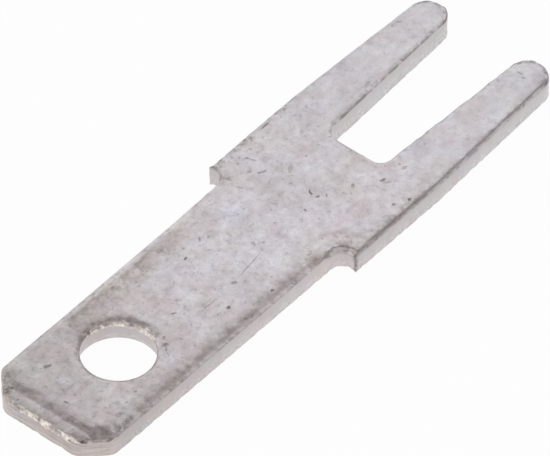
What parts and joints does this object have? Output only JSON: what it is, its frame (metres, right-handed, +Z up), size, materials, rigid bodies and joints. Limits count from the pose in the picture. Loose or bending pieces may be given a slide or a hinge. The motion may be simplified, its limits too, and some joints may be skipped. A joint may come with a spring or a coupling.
{
  "type": "pcb tab terminal",
  "caption": "Flat stamped tab terminal for a circuit board: a punched push-on tab at one end and a fork of two solder prongs at the other.",
  "frame": {"origin": "under the middle of the length, on the underside that it rests on", "axes": "+X from the tab's tip towards the solder prongs, +Z up through the thickness, out of the coined face"},
  "size_m": [0.0132, 0.0036, 0.0005],
  "materials": {
    "tinned_brass": "bright tin plate gone dull, with fine mottling, specks and handling scratches"
  },
  "bodies": {
    "root": {"blade": "tinned_brass"}
  },
  "joints": []
}
